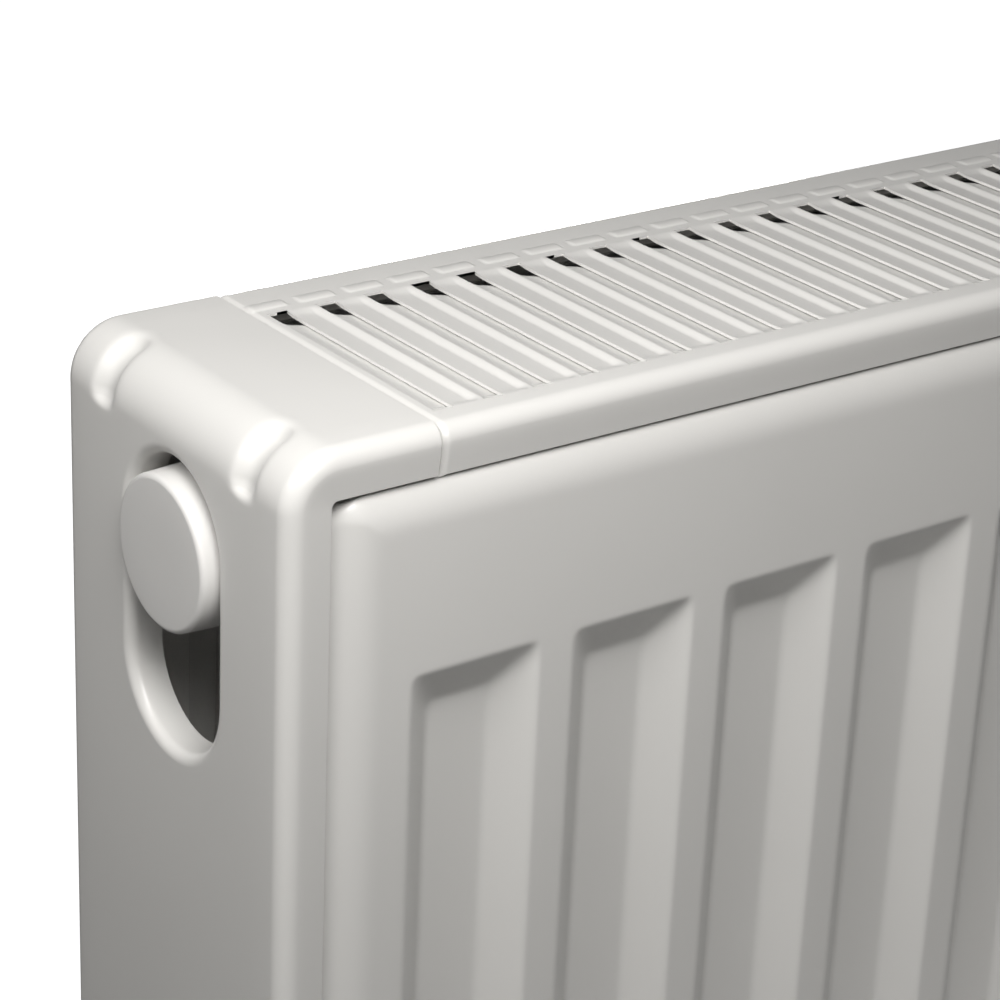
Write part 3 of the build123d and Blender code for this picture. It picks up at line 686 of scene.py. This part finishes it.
def build_cover(name, node, mirror):
    """Side cover with its rolled slots. A mirror of -1 gives the one at the other end."""
    points, faces = cover_skin()
    work = bmesh.new()
    verts = [work.verts.new(p) for p in points]
    for face in faces:
        work.faces.new([verts[k] for k in face])
    bmesh.ops.remove_doubles(work, verts=work.verts, dist=same_column)
    add_slot(work, 1, upper_patch_z)
    add_slot(work, -1, lower_patch_z)
    bmesh.ops.recalc_face_normals(work, faces=work.faces)
    largest = max(work.faces, key=lambda f: f.calc_area())
    if largest.normal.x > 0:
        bmesh.ops.reverse_faces(work, faces=work.faces)
    for v in work.verts:
        v.co = Vector((v.co.x * mirror, v.co.y, v.co.z)) * MM
    if mirror < 0:
        bmesh.ops.reverse_faces(work, faces=work.faces)
    mesh = bpy.data.meshes.new(name)
    work.to_mesh(mesh)
    work.free()
    finish_piece(name, mesh, node, crease_cover, sheet=cover_sheet)


build_cover("left_cover_skin", "left_side_cover", 1)
build_cover("right_cover_skin", "right_side_cover", -1)


# Top grille

grille_top = cover_z1 - grille_drop
raised_x = seam_x + joggle
slot_x0 = -(opening + (slot_count - 1) * pitch) / 2
slot_places = [slot_x0 + i * pitch for i in range(slot_count)]
slot_end_x = slot_places[-1] + opening
slot_front_y = cover_front_y + slot_front
slot_rear_y = slot_front_y + slot_length
pad_front_y = slot_rear_y + pad_gap


def lowered(x):
    """How far the grille lies lower at its ends: a step down and a groove along the seam."""
    step = soft_step((-abs(x) - raised_x + joggle_run) / joggle_run)
    groove = soft_step((-abs(x) - seam_x) / seam_groove_run)
    return grille_step * (1 - step) + seam_groove * (1 - groove)


def grille_columns():
    """X of the grid lines of the grille's front and rear strips."""
    lines = {grille_x0, raised_x + joggle_end}
    lines |= {raised_x - joggle_run + joggle_run * k / joggle_lines for k in range(joggle_lines + 1)}
    lines |= {seam_x + seam_groove_run * k / seam_lines for k in range(seam_lines + 1)}
    for x in slot_places:
        middle = x + opening / 2
        lines |= {x, x + opening}
        lines |= {x + opening + v for v in beside_opening}
        lines |= {middle + s * (pad_width / 2 + v) for s in (-1, 1) for v in pad_lines}
    lines |= {-v for v in lines}
    return spaced((v for v in lines if grille_x0 <= v <= grille_x1), same_column)


def pad(x, y):
    """Height of the pressed pads behind the openings."""
    i = round((x - slot_x0 - opening / 2) / pitch)
    if not 0 <= i < slot_count:
        return 0.0
    across = pad_width / 2 - abs(x - slot_places[i] - opening / 2)
    along = pad_length / 2 - abs(y - pad_front_y - pad_length / 2)
    return pad_rise * ramp(soft_min(across, along, pad_corner) / pad_wall, pad_soft, pad_soft)


def flange_line(side):
    """The grille's flange and its round in section, from its lower edge upwards: y and depth."""
    edge = grille_front_y if side < 0 else grille_rear_y
    line = [(edge - side * lean(h), h) for h in (grille_top - grille_low_z, *grille_flange_lines)]
    line += [(edge - side * grille_round * (1 - math.cos(a)), grille_round * (1 - math.sin(a)))
             for a in quarter(round_steps)]
    return line


def strip_grid(line, side, columns):
    """The strip in front of the openings, side -1, or behind them, side 1."""
    rows = []
    for y, h in line:
        row = []
        for x in columns:
            drop = lowered(x)
            raised = pad(x, y) if h == 0 else 0.0
            row.append((x, y - side * drop * min(h / grille_round, 1.0), grille_top - h - drop + raised))
        rows.append(row)
    return rows


def slat_grid(x0):
    """The slat on the right of an opening: a shallow valley that rises to a raised edge."""
    rows = []
    for v in slat_rows:
        blend = soft_step(v / slat_front_run) * soft_step((slot_length - v) / slat_rear_run)
        row = []
        for t in slat_columns:
            fall = edge_fall + (valley - edge_fall) * min(t / valley_place, 1.0)
            fall *= 1 - soft_step((t - valley_place) / (1 - valley_place))
            row.append((x0 + opening + (pitch - opening) * t, slot_front_y + v, grille_top - fall * blend))
        rows.append(row)
    return rows


def blade_grid(x0):
    """The blade that leans down into an opening, with its tongue sunk at the rear end."""
    rows = []
    for v in blade_rows:
        y = slot_front_y + v
        tilt = blade_tilt * soft_step(v / blade_front_run)
        sink = tongue_sink * soft_step((v - tongue_start) / tongue_run)
        edge_z = grille_top - blade_edge_drop - blade_edge_sink * min(sink, 1)
        row = [(x0, y, grille_top), (x0 + blade_edge, y, edge_z)]
        for share in blade_columns:
            reach = blade_width * share
            turn = tilt * min(share / blade_bend, 1.0)
            fall = blade_drop + reach * math.sin(turn) + sink * min(share / tongue_bend, 1.0)
            row.append((x0 + reach * math.cos(turn), y, grille_top - fall))
        rows.append(row)
    return rows


def grille_grids():
    """Every grid of the grille's outside, as rows of points."""
    columns = grille_columns()
    front_line = flange_line(-1) + [(slot_front_y, 0.0)]
    rear_y = [slot_rear_y] + [pad_front_y + v for v in pad_rows]
    rear_line = [(y, 0.0) for y in rear_y] + flange_line(1)[::-1]
    grids = [strip_grid(front_line, -1, columns), strip_grid(rear_line, 1, columns)]
    for x0, x1 in ((grille_x0, slot_x0), (slot_end_x, grille_x1)):
        end = [x for x in columns if x0 - same_line <= x <= x1 + same_line]
        grids.append([[(x, y, grille_top - lowered(x)) for x in end] for y in (slot_front_y, slot_rear_y)])
    grids += [slat_grid(x) for x in slot_places[:-1]]
    return grids + [blade_grid(x) for x in slot_places]


grille_points, grille_faces = [], []
for rows in grille_grids():
    grille_faces += grid_faces(len(grille_points), len(rows[0]), len(rows))
    for row in rows:
        grille_points += row
piece("grille_skin", grille_points, grille_faces, "top_grille", crease_grille, sheet=grille_sheet)


# Turned cap

def turned(name, outline, node):
    """A body of revolution about the valve's axis, from an (x, radius) outline in millimetres."""
    points, faces = [], []
    count = len(outline)
    for k in range(turned_steps):
        a = 2 * math.pi * k / turned_steps
        points += [(x, axis_y + r * math.cos(a), axis_z + r * math.sin(a)) for x, r in outline]
        base, other = k * count, (k + 1) % turned_steps * count
        faces += [(base + i, other + i, other + i + 1, base + i + 1) for i in range(count - 1)]
    piece(name, points, faces, node, crease_cap)


def arc(center_x, center_r, radius, start, stop, steps):
    """Points on a round of an outline, between two angles in degrees."""
    angles = [math.radians(start + (stop - start) * k / steps) for k in range(steps + 1)]
    return [(center_x + radius * math.cos(a), center_r + radius * math.sin(a)) for a in angles]


skirt_radius = (cap_z1 - cap_z0) / 2
cap_radius = skirt_radius - skirt_step
cap_outline = [(cap_x0, 0.0), (cap_x0, cap_flat)]
cap_outline += arc(cap_x0 + cap_round, cap_radius - cap_round - cap_taper, cap_round, 180, 90,
                   cap_round_steps)
cap_outline += arc(cap_x1 - skirt_round, skirt_radius - skirt_round, skirt_round, 90, 0, skirt_round_steps)
cap_outline += [
    (cap_x1, cap_bore + skirt_round),
    (cap_x1 - skirt_round, cap_bore),
    (cap_x0 + cap_wall, cap_bore),
    (cap_x0 + cap_wall, boss_radius),
    (cap_x0 + boss_reach, boss_radius),
    (cap_x0 + boss_reach, 0.0),
]
turned("cap_skin", cap_outline, "protective_cap")


# Smoothly shaded copies of the other nodes

smooth_nodes = (
    "valve_tee", "vent_tee", "lower_left_tee", "lower_right_tee", "return_tee", "return_nipple",
    "feed_nipple", "connection_bridge", "riser_tube", "valve_insert_body", "gland_nut", "valve_pin",
    "valve_disc", "presetting_ring", "vent_plug", "vent_screw", "vent_nozzle", "blanking_plugs",
    "hanging_lugs", "left_wall_bracket", "right_wall_bracket", "bracket_sleeves", "grille_clips",
    "cover_clips", "front_convector", "rear_convector", "front_panel_inner_sheet",
    "rear_panel_inner_sheet", "valve_insert_seal", "vent_plug_seal", "plug_seals", "valve_spring",
)
smooth = {}
for node in smooth_nodes:
    copy = frame["nodes"][node].data.copy()
    copy.materials.clear()
    smooth[node] = finish_piece(node + "_smooth", copy, node, crease_fitting)

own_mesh(smooth["valve_spring"])


# Floor and room

floor_half = 6.0
floor_clearance = 0.002
floor_bounce = 0.20
floor_seen = 0.90
floor_roughness = 0.9
floor_specular = 0.1
floor_glow = 1.2
floor_glow_share = 0.87
room_strength = 0.055
room_in_gloss = 0.15


def gray(value):
    """A gray of the given level as a colour."""
    return (value, value, value, 1)


def floor_material():
    """Pale floor, white to the camera, that keeps the object's shadow and throws little light back."""
    mat = bpy.data.materials.new("floor")
    mat.use_nodes = True
    nodes, links = mat.node_tree.nodes, mat.node_tree.links
    shader = nodes["Principled BSDF"]
    shader.inputs["Roughness"].default_value = floor_roughness
    shader.inputs["Specular IOR Level"].default_value = floor_specular
    glow = nodes.new("ShaderNodeEmission")
    glow.inputs["Strength"].default_value = floor_glow
    path = nodes.new("ShaderNodeLightPath")
    tint = nodes.new("ShaderNodeMix")
    tint.data_type = "RGBA"
    tint.inputs["A"].default_value = gray(floor_bounce)
    tint.inputs["B"].default_value = gray(floor_seen)
    share = nodes.new("ShaderNodeMath")
    share.operation = "MULTIPLY"
    share.inputs[1].default_value = floor_glow_share
    mix = nodes.new("ShaderNodeMixShader")
    links.new(path.outputs["Is Camera Ray"], tint.inputs["Factor"])
    links.new(tint.outputs["Result"], shader.inputs["Base Color"])
    links.new(path.outputs["Is Camera Ray"], share.inputs[0])
    links.new(share.outputs[0], mix.inputs["Fac"])
    links.new(shader.outputs["BSDF"], mix.inputs[1])
    links.new(glow.outputs["Emission"], mix.inputs[2])
    links.new(mix.outputs["Shader"], nodes["Material Output"].inputs["Surface"])
    return mat


def room():
    """Faint even light. The camera sees it as white, and glossy surfaces see a share of that white."""
    world = bpy.data.worlds.new("room")
    world.use_nodes = True
    nodes, links = world.node_tree.nodes, world.node_tree.links
    faint = nodes["Background"]
    faint.inputs["Color"].default_value = gray(1)
    faint.inputs["Strength"].default_value = room_strength
    white = nodes.new("ShaderNodeBackground")
    white.inputs["Color"].default_value = gray(1)
    ray = nodes.new("ShaderNodeLightPath")
    glossy = nodes.new("ShaderNodeMath")
    glossy.operation = "MULTIPLY"
    glossy.inputs[1].default_value = room_in_gloss
    seen = nodes.new("ShaderNodeMath")
    seen.operation = "MAXIMUM"
    mix = nodes.new("ShaderNodeMixShader")
    links.new(ray.outputs["Is Glossy Ray"], glossy.inputs[0])
    links.new(ray.outputs["Is Camera Ray"], seen.inputs[0])
    links.new(glossy.outputs[0], seen.inputs[1])
    links.new(seen.outputs[0], mix.inputs["Fac"])
    links.new(faint.outputs["Background"], mix.inputs[1])
    links.new(white.outputs["Background"], mix.inputs[2])
    links.new(mix.outputs["Shader"], nodes["World Output"].inputs["Surface"])
    return world


floor_mesh = bpy.data.meshes.new("floor")
floor_z = cad_bounds[0][2] - floor_clearance
floor_corners = [(x * floor_half, y * floor_half, floor_z) for x, y in ((-1, -1), (1, -1), (1, 1), (-1, 1))]
floor_mesh.from_pydata(floor_corners, [], [(0, 1, 2, 3)])
floor_mesh.materials.append(floor_material())
floor = bpy.data.objects.new("floor", floor_mesh)
bpy.context.collection.objects.link(floor)
bpy.context.scene.world = room()


# Lamps, in metres. The first three aim at a place inside the radiator's top left corner

top_left = (-0.42, -0.09, 0.27)
lamp_color = (1.0, 0.99, 0.97)


def soft_light(name, place, target, size, watts, spread=180.0):
    """Square softbox that faces a target. A smaller spread, in degrees, narrows its beam."""
    lamp = bpy.data.lights.new(name, "AREA")
    lamp.size = size
    lamp.energy = watts
    lamp.spread = math.radians(spread)
    lamp.color = lamp_color
    obj = bpy.data.objects.new(name, lamp)
    obj.location = place
    obj.rotation_euler = (Vector(target) - Vector(place)).to_track_quat("-Z", "Y").to_euler()
    bpy.context.collection.objects.link(obj)


soft_light("key", (-0.700, -0.330, 0.800), top_left, 0.34, 1.95)
soft_light("left", (-1.256, -0.090, 0.966), top_left, 0.6, 2.8)
soft_light("near_front", (-0.560, -0.470, 0.680), top_left, 0.25, 2.25)
soft_light("back", (0.700, 1.400, 0.000), (0.05, -0.05, 0.0), 0.5, 13.0)
soft_light("right", (1.800, -0.100, 0.000), (0.45, -0.084, 0.0), 0.5, 9.0)
soft_light("far_front", (0.420, -1.250, -0.120), (0.330, -0.100, -0.100), 0.5, 0.7, spread=62.0)
soft_light("low_front", (-0.250, -1.250, -0.150), (-0.250, -0.100, -0.200), 0.4, 0.12, spread=38.0)


# Camera, in metres and degrees

camera_place = (-0.80862, -0.68608, 0.59622)
camera_yaw = math.radians(37.034)
camera_down = math.radians(24.014)
camera_roll = math.radians(2.561)
camera_lens = 111.08
camera_sensor = 36.0

ahead = Vector((math.sin(camera_yaw), math.cos(camera_yaw), 0.0))
forward = ahead * math.cos(camera_down) - Vector((0.0, 0.0, math.sin(camera_down)))
level = Vector((math.cos(camera_yaw), -math.sin(camera_yaw), 0.0))
upright = level.cross(forward)
right = level * math.cos(camera_roll) + upright * math.sin(camera_roll)
up = upright * math.cos(camera_roll) - level * math.sin(camera_roll)
turn = Matrix((right, up, -forward)).transposed()

camera = bpy.data.cameras.new("camera")
camera.sensor_width = camera_sensor
camera.lens = camera_lens
view = bpy.data.objects.new("camera", camera)
view.matrix_world = Matrix.Translation(camera_place) @ turn.to_4x4()
bpy.context.collection.objects.link(view)
bpy.context.scene.camera = view
bpy.context.scene.view_settings.view_transform = "Standard"
